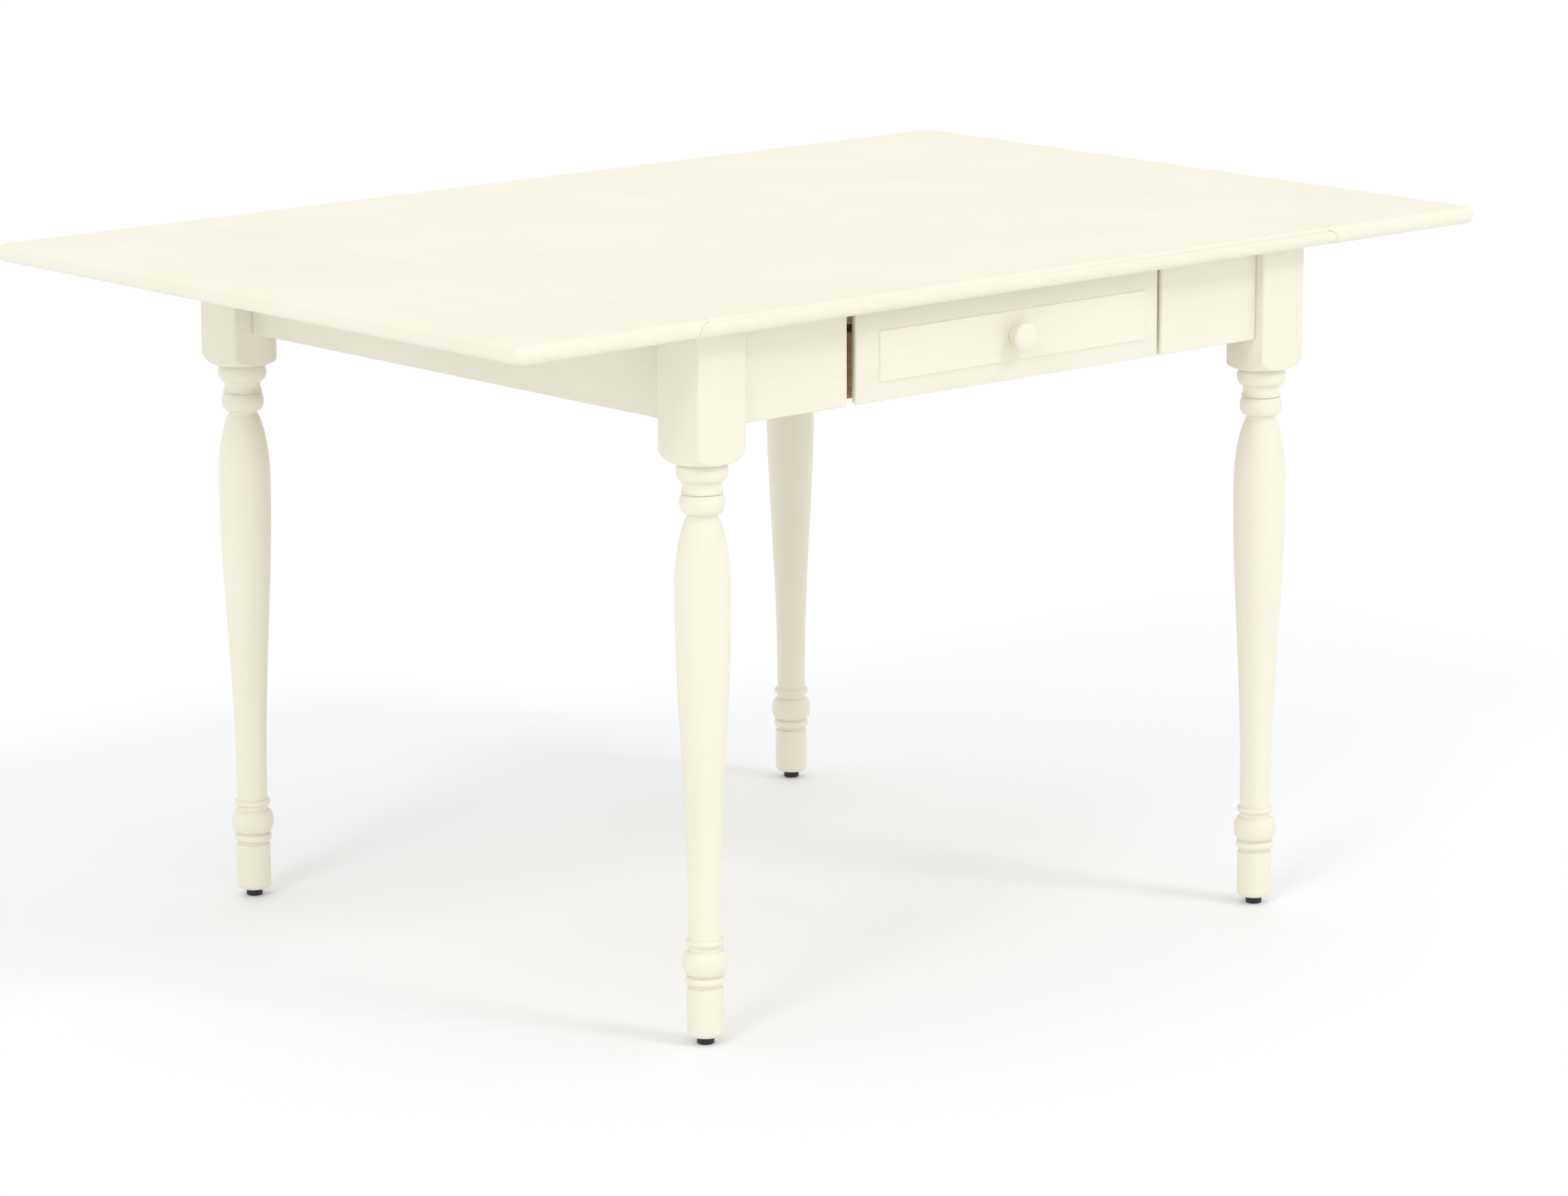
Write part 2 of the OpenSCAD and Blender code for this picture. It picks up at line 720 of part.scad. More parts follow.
module drawer_front() color(paint) difference() {
    front_h = front_z1 - front_z0;
    intersection() {
        translate([0, front_back_y, front_z0]) mirror([0, 1, 0])
            linear_extrude(front_h) polygon(panel_outline(drawer_w / 2, bevel_side));
        translate([-drawer_w / 2, front_back_y, knob_z]) mirror([0, 1, 0])
            rotate([90, 0, 90]) linear_extrude(drawer_w)
            rotate([0, 0, 90]) mirror([0, 1, 0]) polygon(panel_outline(front_h / 2, bevel_end));
    }
    // rabbets behind the lips, the groove for the bottom panel, dowel holes and the knob screw hole
    for (side = [-1, 1]) on_side(side) {
        box_between([box_x, front_back_y - front_t + field_step + bevel_drop + lip_t, front_z0 - eps],
                    [drawer_w / 2 + eps, front_back_y + eps, front_z1 + eps]);
    }
    box_between([-box_x + board_t - groove - 0.2, front_back_y - groove, bottom_z - 0.1],
                [box_x - board_t + groove + 0.2, front_back_y + eps, bottom_z + bottom_t + 0.1]);
    each_dowel_hole();
    along_y(0, knob_y - 1, knob_z) cylinder(h = front_t + 2, r = knob_screw_r + 0.3);
}

module each_dowel() {
    for (s = [-1, 1], z = dowel_zs) {
        along_y(s * (box_x - board_t / 2), front_back_y - dowel_in, z) children();
    }
}

// Hole with 0.3 mm to spare at each end of the dowel
module each_dowel_hole() {
    each_dowel() translate([0, 0, -0.3]) cylinder(h = dowel_l + 0.6, r = dowel_r + fit);
}

module drawer_dowels() color(bare_wood) each_dowel() cylinder(h = dowel_l, r = dowel_r);

module drawer_side(side) color(bare_wood) on_side(side) difference() {
    translate([box_x - board_t, front_back_y, box_z0]) cube([board_t, drawer_d, box_h]);
    box_between([box_x - board_t - eps, front_back_y - eps, bottom_z - 0.1],
                [box_x - board_t + groove + 0.2, box_y1 + eps, bottom_z + bottom_t + 0.1]);
    each_dowel_hole();
    each_back_screw() cylinder(h = board_t + 2, r = back_screw_r + fit);
    each_back_screw() cylinder(h = 1.8, r1 = back_screw_r + 1.8, r2 = back_screw_r + fit);
}

module drawer_back() color(bare_wood) difference() {
    translate([-box_x + board_t, box_y1 - board_t, bottom_z + bottom_t + 0.1])
        cube([2 * (box_x - board_t), board_t, box_z0 + box_h - bottom_z - bottom_t - 0.1]);
    for (s = [-1, 1]) on_side(s) each_back_screw() {
        cylinder(h = back_screw_l + 0.4, r = back_screw_r + fit);
    }
}

// Screws through the right-hand side into the back, heads outside
module each_back_screw() {
    for (z = back_screw_zs) {
        translate([box_x, box_y1 - board_t / 2, z]) rotate([0, -90, 0]) children();
    }
}

module drawer_screws() color(steel) {
    for (s = [-1, 1]) on_side(s) each_back_screw()
        flat_screw(back_screw_r, back_screw_r + 1.6, 1.6, back_screw_l);
}

module drawer_bottom() color(panel_wood) {
    half = box_x - board_t + groove;
    box_between([-half, front_back_y - groove + 0.2, bottom_z],
                [half, box_y1 - 1, bottom_z + bottom_t]);
}

// Turned knob, drawn upright and laid towards the front: a base ring, a flared stem and a domed head
module drawer_knob() color(paint) translate([0, knob_y, knob_z]) rotate([90, 0, 0]) difference() {
    knob_r = knob_d / 2;
    rotate_extrude($fn = 96) polygon(concat(
        [[0, 0], [9.5, 0], [9.5, 2], [8, 3.2]],
        [for (a = [0 : 15 : 90]) [7.2 + (knob_r - 8.8) * (1 - cos(a)), 3.2 + 9 * sin(a)]],
        [for (a = [-20 : 11 : 79]) [knob_r * cos(a), 16 + 8 * sin(a)]],
        [[0, 24]]
    ));
    translate([0, 0, -eps]) cylinder(h = knob_screw_in + 1, r = knob_screw_r + fit);
}

module drawer_knob_screw() color(steel) along_y(0, front_back_y, knob_z) rotate([180, 0, 0])
    pan_screw(knob_screw_r, front_t + knob_screw_in);

top_centre();
leaf(-1);  // leaf_left
leaf(1);  // leaf_right
leg(-1, -1);  // leg_front_left
leg(1, -1);  // leg_front_right
leg(-1, 1);  // leg_back_left
leg(1, 1);  // leg_back_right
foot_glides();
apron_front(-1);  // apron_front_left
apron_front(1);  // apron_front_right
apron_back();
apron_end(-1);  // apron_end_left
apron_end(1);  // apron_end_right
front_stretcher();
drawer_stop_block();
drawer_runner(-1);  // drawer_runner_left
drawer_runner(1);  // drawer_runner_right
corner_block(-1, -1);  // corner_block_front_left
corner_block(1, -1);  // corner_block_front_right
corner_block(-1, 1);  // corner_block_back_left
corner_block(1, 1);  // corner_block_back_right
leg_bolts();
leg_bolt_washers();
leg_bolt_nuts();
support_rails(-1);  // support_rails_left
support_rails(1);  // support_rails_right
support_keepers(-1);  // support_keepers_left
support_keepers(1);  // support_keepers_right
keeper_screws();
top_brackets();
top_screws();
support(-1, -1);  // support_front_left
support(-1, 1);  // support_back_left
support(1, -1);  // support_front_right
support(1, 1);  // support_back_right
support_peg(-1, -1);  // support_peg_front_left
support_peg(-1, 1);  // support_peg_back_left
support_peg(1, -1);  // support_peg_front_right
support_peg(1, 1);  // support_peg_back_right
hinge_fixed_plates(-1);  // hinge_fixed_plates_left
hinge_fixed_plates(1);  // hinge_fixed_plates_right
hinge_leaf_plates(-1);  // hinge_leaf_plates_left
hinge_leaf_plates(1);  // hinge_leaf_plates_right
hinge_pins(-1);  // hinge_pins_left
hinge_pins(1);  // hinge_pins_right
hinge_fixed_screws(-1);  // hinge_fixed_screws_left
hinge_fixed_screws(1);  // hinge_fixed_screws_right
hinge_leaf_screws(-1);  // hinge_leaf_screws_left
hinge_leaf_screws(1);  // hinge_leaf_screws_right
drawer_front();
drawer_side(-1);  // drawer_side_left
drawer_side(1);  // drawer_side_right
drawer_back();
drawer_bottom();
drawer_dowels();
drawer_screws();
drawer_knob();
drawer_knob_screw();
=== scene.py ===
"""Looks of the drop leaf table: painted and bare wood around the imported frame, in metres."""

import json
import math

import bmesh
import bpy
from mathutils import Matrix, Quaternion, Vector


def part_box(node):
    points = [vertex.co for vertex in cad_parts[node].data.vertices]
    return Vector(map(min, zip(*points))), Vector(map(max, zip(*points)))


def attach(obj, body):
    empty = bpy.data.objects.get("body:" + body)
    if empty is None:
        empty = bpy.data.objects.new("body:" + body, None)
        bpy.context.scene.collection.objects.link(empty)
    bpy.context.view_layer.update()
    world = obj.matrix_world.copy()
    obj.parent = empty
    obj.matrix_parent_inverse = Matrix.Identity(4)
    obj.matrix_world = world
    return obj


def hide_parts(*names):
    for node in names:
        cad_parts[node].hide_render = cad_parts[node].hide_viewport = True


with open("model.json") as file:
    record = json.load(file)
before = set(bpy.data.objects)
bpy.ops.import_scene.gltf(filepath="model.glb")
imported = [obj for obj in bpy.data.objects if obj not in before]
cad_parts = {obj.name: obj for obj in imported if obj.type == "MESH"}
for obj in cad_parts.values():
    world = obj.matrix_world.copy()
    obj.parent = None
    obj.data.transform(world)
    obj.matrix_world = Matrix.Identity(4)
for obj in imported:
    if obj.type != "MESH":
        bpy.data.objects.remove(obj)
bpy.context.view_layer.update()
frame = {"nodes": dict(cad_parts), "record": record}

MM = 0.001
NODES = frame["nodes"]
BODIES = frame["record"]["behaviour"]["bodies"]
BODY_OF = {node: body for body, members in BODIES.items() for node in members}
SLOT_OF = {part["node"]: part["material_slot"] for part in frame["record"]["subparts"]}
CORNERS = [f"{row}_{side}" for row in ("front", "back") for side in ("left", "right")]
AROUND = ((-1, -1), (1, -1), (1, 1), (-1, 1))     # signs of a rectangle's corners, in order round it

# ---- Camera ----
VIEW_AIM = Vector((0.0198, -0.0331, 0.3466))
VIEW_DISTANCE = 6.246
VIEW_HEADING = 41.478      # degrees from +Y towards +X
VIEW_DOWN = 12.319
VIEW_ROLL = -0.199
VIEW_LENS = 129.58         # mm, on a 36 mm sensor

# ---- Paint and wood, as linear colours ----
IVORY_LIGHT = (0.856, 0.836, 0.692)
IVORY_DEEP = (0.826, 0.802, 0.654)
IVORY_WORN = (0.770, 0.720, 0.545)
WOOD_LIGHT = (0.640, 0.430, 0.235)
WOOD_MID = (0.520, 0.320, 0.155)
WOOD_DARK = (0.360, 0.200, 0.085)
PANEL_LIGHT = (0.560, 0.390, 0.215)
PANEL_DARK = (0.430, 0.275, 0.135)
ZINC_LIGHT = (0.680, 0.685, 0.670)
ZINC_DARK = (0.470, 0.480, 0.490)
GLIDE_BLACK = (0.012, 0.012, 0.013)
GLIDE_SCUFF = (0.050, 0.048, 0.046)
FLOOR_PALE = (0.945, 0.966, 1.000)
FLOOR_DUST = (0.935, 0.956, 0.990)

# ---- Stage and light ----
FLOOR_HALF = 30.0          # metres
STUDIO_WHITE = (1.0, 0.992, 0.982, 1.0)
STUDIO_STRENGTH = 0.95
SOFTBOX_SPREAD = 15.0      # degrees across
SOFTBOX_DISTANCE = 5.0     # metres; only the lamp's direction shows

AXES = {"x": Vector((1, 0, 0)), "y": Vector((0, 1, 0)), "z": Vector((0, 0, 1))}


# ---- Material helpers ----

class Shader:
    """A material's node tree with one Principled shader."""

    def __init__(self, name):
        self.material = bpy.data.materials.new(name)
        self.material.use_nodes = True
        self.tree = self.material.node_tree
        self.principled = self.tree.nodes["Principled BSDF"]
        self.coordinates = self.tree.nodes.new("ShaderNodeTexCoord")

    def node(self, kind, settings=None, **inputs):
        """Adds a node; settings are its attributes, and inputs are values or sockets by name."""
        made = self.tree.nodes.new("ShaderNode" + kind)
        for key, value in (settings or {}).items():
            setattr(made, key, value)
        for key, value in inputs.items():
            self.feed(made.inputs[key.replace("_", " ")], value)
        return made

    def feed(self, socket, value):
        if isinstance(value, bpy.types.NodeSocket):
            self.tree.links.new(value, socket)
        else:
            socket.default_value = value

    def stretched(self, axis, along, across):
        """Object coordinates that run slowly along the grain and fast across it, in units per metre."""
        scale = [along if name == axis else across for name in "xyz"]
        return self.node("Mapping", Vector=self.coordinates.outputs["Object"], Scale=scale).outputs[0]

    def even(self, per_metre):
        scale = (per_metre,) * 3
        return self.node("Mapping", Vector=self.coordinates.outputs["Object"], Scale=scale).outputs[0]

    def noise(self, vector, detail, roughness=0.55):
        made = self.node("TexNoise", Vector=vector, Scale=1.0, Detail=detail, Roughness=roughness)
        return made.outputs["Fac"]

    def math(self, operation, a, b=0.0):
        made = self.tree.nodes.new("ShaderNodeMath")
        made.operation = operation
        self.feed(made.inputs[0], a)
        self.feed(made.inputs[1], b)
        return made.outputs[0]

    def fit(self, value, low, high, to_low=0.0, to_high=1.0):
        """Maps low..high to to_low..to_high, and clamps."""
        made = self.tree.nodes.new("ShaderNodeMapRange")
        for socket, number in zip(made.inputs[:5], (value, low, high, to_low, to_high)):
            self.feed(socket, number)
        return made.outputs[0]

    def mix(self, factor, a, b):
        """Mixes two colours, each a tuple or a socket."""
        made = self.tree.nodes.new("ShaderNodeMix")
        made.data_type = "RGBA"
        self.feed(made.inputs["Factor"], factor)
        for socket, colour in ((made.inputs[6], a), (made.inputs[7], b)):
            self.feed(socket, colour if isinstance(colour, bpy.types.NodeSocket) else (*colour, 1.0))
        return made.outputs[2]

    def end_grain(self, axis):
        """1 on faces that the grain runs into, and 0 on faces along it."""
        normal = self.coordinates.outputs["Normal"]
        along = self.node("VectorMath", {"operation": "DOT_PRODUCT"}, Vector=normal)
        along.inputs[1].default_value = AXES[axis]
        return self.fit(self.math("ABSOLUTE", along.outputs["Value"]), 0.6, 0.8)

    def edges(self, radius):
        """1 on edges and corners, and 0 on flat faces."""
        bevel = self.node("Bevel", {"samples": 4}, Radius=radius)
        geometry = self.node("NewGeometry")
        close = self.node("VectorMath", {"operation": "DOT_PRODUCT"}, Vector=bevel.outputs[0])
        self.tree.links.new(geometry.outputs["Normal"], close.inputs[1])
        return self.fit(close.outputs["Value"], 0.995, 0.86)

    def bump(self, height, depth, strength=1.0, under=None):
        """Bump from a height of 0 to 1 that stands for depth in metres, on top of another bump."""
        made = self.node("Bump", Strength=strength, Distance=depth, Height=height)
        if under is not None:
            self.feed(made.inputs["Normal"], under)
        return made.outputs[0]

    def finish(self, colour, roughness, normal, **constants):
        self.feed(self.principled.inputs["Base Color"], colour)
        self.feed(self.principled.inputs["Roughness"], roughness)
        self.feed(self.principled.inputs["Normal"], normal)
        for key, value in constants.items():
            self.principled.inputs[key.replace("_", " ")].default_value = value
        return self.material


# ---- Materials ----

def ivory_paint(axis):
    """Satin ivory paint, with the wood's grain faint beneath it and thin spots on the edges."""
    s = Shader("ivory_paint_" + axis)
    clouds = s.noise(s.even(5.0), detail=4.0)
    streaks = s.noise(s.stretched(axis, 5.0, 90.0), detail=4.0, roughness=0.6)
    pores = s.noise(s.stretched(axis, 28.0, 1100.0), detail=2.0)
    peel = s.noise(s.even(420.0), detail=2.0)
    specks = s.noise(s.even(240.0), detail=1.0)
    cloudy = s.math("ADD", s.math("MULTIPLY", clouds, 0.6), s.math("MULTIPLY", streaks, 0.4))
    shade = s.fit(cloudy, 0.36, 0.64)
    colour = s.mix(shade, IVORY_LIGHT, IVORY_DEEP)
    colour = s.mix(s.fit(specks, 0.70, 0.78, 0.0, 0.30), colour, IVORY_WORN)
    wear = s.math("MULTIPLY", s.edges(1.6 * MM), s.fit(s.noise(s.even(60.0), detail=5.0), 0.42, 0.68))
    colour = s.mix(s.math("MULTIPLY", wear, 0.55), colour, IVORY_WORN)
    roughness = s.fit(s.math("ADD", clouds, s.math("MULTIPLY", pores, 0.5)), 0.5, 1.0, 0.34, 0.50)
    normal = s.bump(peel, 0.05 * MM, 0.5)
    normal = s.bump(streaks, 0.25 * MM, 0.35, normal)
    normal = s.bump(pores, 0.06 * MM, 0.5, normal)
    return s.finish(colour, roughness, normal, Coat_Weight=0.12, Coat_Roughness=0.28, IOR=1.48)


def wood(name, axis, light, mid, dark, ring_pitch, contrast):
    """Sanded wood: wavy growth lines, fine fibres, open pores, and darker end grain."""
    s = Shader(f"{name}_{axis}")
    drift = s.noise(s.stretched(axis, 1.6, 14.0), detail=3.0)
    across = s.tree.nodes.new("ShaderNodeSeparateXYZ")
    s.feed(across.inputs[0], s.coordinates.outputs["Object"])
    first, second = [across.outputs[i] for i in range(3) if "xyz"[i] != axis]
    lines = s.math("MULTIPLY", first, 1.0 / ring_pitch)
    lines = s.math("ADD", lines, s.math("MULTIPLY", second, 0.7 / ring_pitch))
    lines = s.math("ADD", lines, s.math("MULTIPLY", drift, 9.0))
    rings = s.fit(s.math("SINE", s.math("MULTIPLY", lines, math.pi)), -1.0, 1.0)
    fibres = s.noise(s.stretched(axis, 9.0, 620.0), detail=4.0, roughness=0.65)
    pores = s.noise(s.stretched(axis, 45.0, 1500.0), detail=1.0)
    patches = s.noise(s.stretched(axis, 2.0, 9.0), detail=2.0)
    colour = s.mix(s.math("MULTIPLY", s.math("POWER", rings, 2.2), contrast), light, mid)
    colour = s.mix(s.fit(patches, 0.35, 0.70, 0.0, 0.45), colour, mid)
    colour = s.mix(s.fit(fibres, 0.52, 0.74, 0.0, 0.42), colour, dark)
    colour = s.mix(s.fit(pores, 0.66, 0.76, 0.0, 0.55), colour, dark)
    ends = s.noise(s.even(900.0), detail=2.0)
    colour = s.mix(s.math("MULTIPLY", s.end_grain(axis), s.fit(ends, 0.3, 0.7, 0.35, 0.75)), colour, dark)
    colour = s.mix(s.math("MULTIPLY", s.edges(1.2 * MM), 0.35), colour, light)
    roughness = s.fit(fibres, 0.3, 0.7, 0.52, 0.70)
    normal = s.bump(fibres, 0.12 * MM, 0.6)
    normal = s.bump(s.math("SUBTRACT", 1.0, s.fit(pores, 0.62, 0.76)), 0.15 * MM, 0.5, normal)
    return s.finish(colour, roughness, normal, IOR=1.45)


def bare_wood(axis):
    return wood("bare_wood", axis, WOOD_LIGHT, WOOD_MID, WOOD_DARK, 7.0 * MM, 0.85)


def panel_wood(axis):
    return wood("panel_wood", axis, PANEL_LIGHT, PANEL_DARK, WOOD_DARK, 16.0 * MM, 0.6)


def zinc_steel(axis):
    """Zinc-plated steel: fine drawn lines, cloudy plating, and bright rubbed edges."""
    s = Shader("zinc_steel_" + axis)
    clouds = s.noise(s.even(90.0), detail=4.0)
    lines = s.noise(s.stretched(axis, 60.0, 3000.0), detail=2.0)
    colour = s.mix(s.fit(clouds, 0.35, 0.65), ZINC_LIGHT, ZINC_DARK)
    colour = s.mix(s.math("MULTIPLY", s.edges(0.4 * MM), 0.6), colour, ZINC_LIGHT)
    roughness = s.fit(s.math("ADD", clouds, lines), 0.7, 1.3, 0.24, 0.48)
    normal = s.bump(lines, 0.02 * MM, 0.5)
    return s.finish(colour, roughness, normal, Metallic=1.0)


def black_glide(axis):
    """Moulded nylon with grey scuffs where it slides on the floor."""
    s = Shader("black_glide_" + axis)
    scuffs = s.noise(s.stretched(axis, 1400.0, 200.0), detail=4.0)
    grain = s.noise(s.even(2600.0), detail=1.0)
    colour = s.mix(s.fit(scuffs, 0.52, 0.75), GLIDE_BLACK, GLIDE_SCUFF)
    roughness = s.fit(scuffs, 0.3, 0.7, 0.38, 0.62)
    return s.finish(colour, roughness, s.bump(grain, 0.03 * MM, 0.6), IOR=1.5)


FINISHES = {"ivory_paint": ivory_paint, "bare_wood": bare_wood, "panel_wood": panel_wood,
            "steel": zinc_steel, "black_glide": black_glide}
made_materials = {}


def finish_of(slot, axis):
    """The material of a record slot with its grain along axis, made once."""
    if (slot, axis) not in made_materials:
        made_materials[slot, axis] = FINISHES[slot](axis)
    return made_materials[slot, axis]


def grain_axis(node):
    """The axis along which the node is longest, which is how its grain runs."""
    if node.startswith(("top_centre", "leaf_")):
        return "y"
    if node.startswith("leg_"):
        return "z"
    low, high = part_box(node)
    size = high - low
    return "xyz"[list(size).index(max(size))]


# ---- Piece helpers ----

def add_piece(name, mesh, node, smooth_angle=32.0):
    """Puts a mesh in the scene as the piece that stands for a CAD node."""
    piece = bpy.data.objects.new(name, mesh)
    bpy.context.scene.collection.objects.link(piece)
    mesh.materials.clear()
    mesh.materials.append(finish_of(SLOT_OF[node], grain_axis(node)))
    mesh.shade_smooth()
    mesh.set_sharp_from_angle(angle=math.radians(smooth_angle))
    weighted = piece.modifiers.new("weighted_normals", "WEIGHTED_NORMAL")
    weighted.keep_sharp = True
    weighted.weight = 100
    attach(piece, BODY_OF[node])
    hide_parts(node)
    return piece


def eased_copy(node, kind, radius=0.0, min_length=0.0):
    """Stands a copy of a CAD node, with its convex edges over min_length rounded by radius, for the node."""
    name = f"{node}_{kind}"
    bm = bmesh.new()
    bm.from_mesh(NODES[node].data)
    bmesh.ops.remove_doubles(bm, verts=bm.verts, dist=0.002 * MM)
    bmesh.ops.dissolve_limit(bm, angle_limit=math.radians(0.4), verts=bm.verts, edges=bm.edges)
    bm.normal_update()
    if radius:
        picked = [
            edge for edge in bm.edges
            if edge.is_manifold and edge.is_convex and edge.calc_face_angle() > math.radians(50)
            and edge.calc_length() > min_length
        ]
        bmesh.ops.bevel(bm, geom=picked, offset=radius, offset_type="OFFSET", segments=3, profile=0.5,
                        affect="EDGES", clamp_overlap=False)
    mesh = bpy.data.meshes.new(name)
    bm.to_mesh(mesh)
    bm.free()
    return add_piece(name, mesh, node)


def loft(name, rings):
    """Solid mesh of rings with equal numbers of points, each joined to the next, with both ends capped."""
    count = len(rings[0])
    last = (len(rings) - 1) * count
    points = [point for ring in rings for point in ring]
    faces = []
    for a in range(0, last, count):
        b = a + count
        for i in range(count):
            j = (i + 1) % count
            faces.append((a + i, a + j, b + j, b + i))
    faces.append(tuple(reversed(range(count))))
    faces.append(tuple(range(last, last + count)))
    mesh = bpy.data.meshes.new(name)
    mesh.from_pydata([tuple(point) for point in points], [], faces)
    bm = bmesh.new()
    bm.from_mesh(mesh)
    bmesh.ops.recalc_face_normals(bm, faces=bm.faces)
    bm.to_mesh(mesh)
    bm.free()
    return mesh


# ---- Turned outlines: (radius, height) in millimetres, as are the leg's sizes ----

def bead(z0, z1, r0, r1, steps=12):
    """Half-round bead that swells from radius r0 to r1."""
    turns = [math.radians(-90 + 180 * i / steps) for i in range(steps + 1)]
    return [(r0 + (r1 - r0) * math.cos(a), (z0 + z1) / 2 + (z1 - z0) / 2 * math.sin(a)) for a in turns]


def swell(z0, z1, r0, r1, steps=36):
    """Slow swell of the shaft from its waist to the belly."""
    made = []
    for i in range(steps + 1):
        t = (i / steps) ** 1.15
        made.append((r0 + (r1 - r0) * t * t * (3 - 2 * t), z0 + (z1 - z0) * i / steps))
    return made


def draw_in(z0, z1, r0, r1, steps=20):
    """Quick curve of the shaft from the belly in to the neck."""
    return [
        (r1 + (r0 - r1) * max(math.cos(math.pi / 2 * i / steps), 0.0) ** 0.7, z0 + (z1 - z0) * i / steps)
        for i in range(1, steps + 1)
    ]


def hollow(z0, z1, r, depth, steps=8):
    """Shallow cove that is depth deep half way up."""
    shares = [i / steps for i in range(steps + 1)]
    return [(r - depth * math.sin(math.pi * share), z0 + (z1 - z0) * share) for share in shares]


def quarter(z0, z1, r0, r1, steps=8):
    """Quarter-round growth from r0 at z0 to r1 at z1."""
    turns = [math.radians(90 * i / steps) for i in range(steps + 1)]
    return [(r0 + (r1 - r0) * math.sin(a), z0 + (z1 - z0) * (1 - math.cos(a))) for a in turns]


def softened(outline, radius):
    """The outline with every sharp corner cut round, as thick paint leaves it."""
    points = [Vector(point) for point in outline]
    made = [points[0]]
    for before, here, after in zip(points, points[1:], points[2:]):
        back, on = before - here, after - here
        if back.length < 1e-6 or on.length < 1e-6:
            continue
        if back.angle(on) > math.radians(155):
            made.append(here)
            continue
        a = here + back.normalized() * min(radius, back.length * 0.4)
        b = here + on.normalized() * min(radius, on.length * 0.4)
        made += [a, (a + b + 2 * here) / 4, b]
    return made + [points[-1]]


SHOULDER_Z = 606.0         # lower end of the block
SHOULDER_H = 20.0          # height over which the block is rounded down to the turning
SHOULDER_R = 27.0          # radius at the shoulder's lower end
BLOCK_EDGE = 2.6           # radius of the block's long edges
BLOCK_CHAMFER = 10.0       # cut back at the block's inner corner
SHOULDER_BLEND = 1.6       # softness of the line between shoulder and block
LEG_TURNING = (
    quarter(8, 14, 13.5, 19.0, 6)
    + [(19.0, 59.0), (18.0, 60.0), (16.5, 60.0), (16.5, 64.0)]
    + bead(64, 71.5, 18.8, 20.8, 8)
    + [(17.4, 71.5), (17.4, 73.5)]
    + bead(73.5, 99, 17.5, 23.5, 16)
    + [(17.0, 99.0), (17.0, 105.0)]
    + bead(105, 111, 18.3, 20.3, 8)
    + [(16.9, 111.0)]
    + swell(114, 462, 16.9, 28.8)
    + draw_in(480, 550, 28.8, 16.0)
    + [(16.0, 554.0)]
    + bead(554, 575, 18.0, 23.3)
    + [(21.6, 575.0), (21.6, 576.5)]
    + hollow(576.5, 586.5, 21.0, 1.0)
    + [(21.6, 586.5), (21.6, 588.0)]
    + bead(588, SHOULDER_Z, 22.6, 26.8)
    + [(26.9, SHOULDER_Z)]
)


# ---- Legs ----

def leg_angles():
    """Directions round a leg: even steps, and extra ones at the four corners of its block."""
    even = [i * 3.75 for i in range(96)]
    close = [45 + 90 * corner + step for corner in range(4) for step in (-2.4, -1.6, -0.8, 0.8, 1.6, 2.4)]
    return [math.radians(angle) for angle in sorted(even + close)]


def square_reach(angle, half, corner):
    """Distance from the middle of a square with round corners to its side, in a direction."""
    folded = abs((math.degrees(angle) + 45) % 90 - 45)
    c, s = math.cos(math.radians(folded)), math.sin(math.radians(folded))
    core = half - corner
    if half * s / c <= core:
        return half / c
    return core * (c + s) + math.sqrt(max(corner ** 2 - (core * (c - s)) ** 2, 0.0))


def soft_min(a, b, blend):
    """The smaller of two lengths, with the change from one to the other rounded over blend."""
    share = max(blend - abs(a - b), 0.0) / blend
    return min(a, b) - share * share * blend / 4


def build_leg(corner):
    """Turned leg with a square block whose lower end is rounded down to the turning."""
    node = "leg_" + corner
    low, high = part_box(node)
    middle = (low + high) / 2
    half = (high.x - low.x) / 2 / MM
    top_z = high.z / MM
    inward = math.atan2(-middle.y, -middle.x)
    chamfer_d = (2 * half - BLOCK_CHAMFER) / math.sqrt(2)
    shoulder_end = half * math.sqrt(2) + 1      # just past the block's corners
    angles = leg_angles()

    def ring(z, reach):
        return [(middle.x + reach(a) * MM * math.cos(a), middle.y + reach(a) * MM * math.sin(a), z * MM)
                for a in angles]

    def block_reach(a):
        side = square_reach(a, half, BLOCK_EDGE)
        off = math.cos(a - inward)
        return min(side, chamfer_d / off) if off > 0.5 else side

    rings = [ring(z, lambda a, r=r: r) for r, z in softened(LEG_TURNING, 0.6)]
    for i in range(1, 31):
        turn = math.radians(3 * i)
        grown = SHOULDER_R + (shoulder_end - SHOULDER_R) * math.sin(turn)
        z = SHOULDER_Z + SHOULDER_H * (1 - math.cos(turn))
        rings.append(ring(z, lambda a, g=grown: soft_min(block_reach(a), g, SHOULDER_BLEND)))
    rings.append(ring(SHOULDER_Z + SHOULDER_H + 4, block_reach))
    rings.append(ring(top_z, block_reach))
    leg = loft(node + "_turned", rings)
    return add_piece(node + "_turned", leg, node, smooth_angle=75.0)


# ---- Top and leaves ----

def build_boards():
    """Centre top and leaves, shaded smooth round their rims and along the rule joints."""
    for node in ("top_centre", "leaf_left", "leaf_right"):
        eased_copy(node, "board")


# ---- Drawer front ----

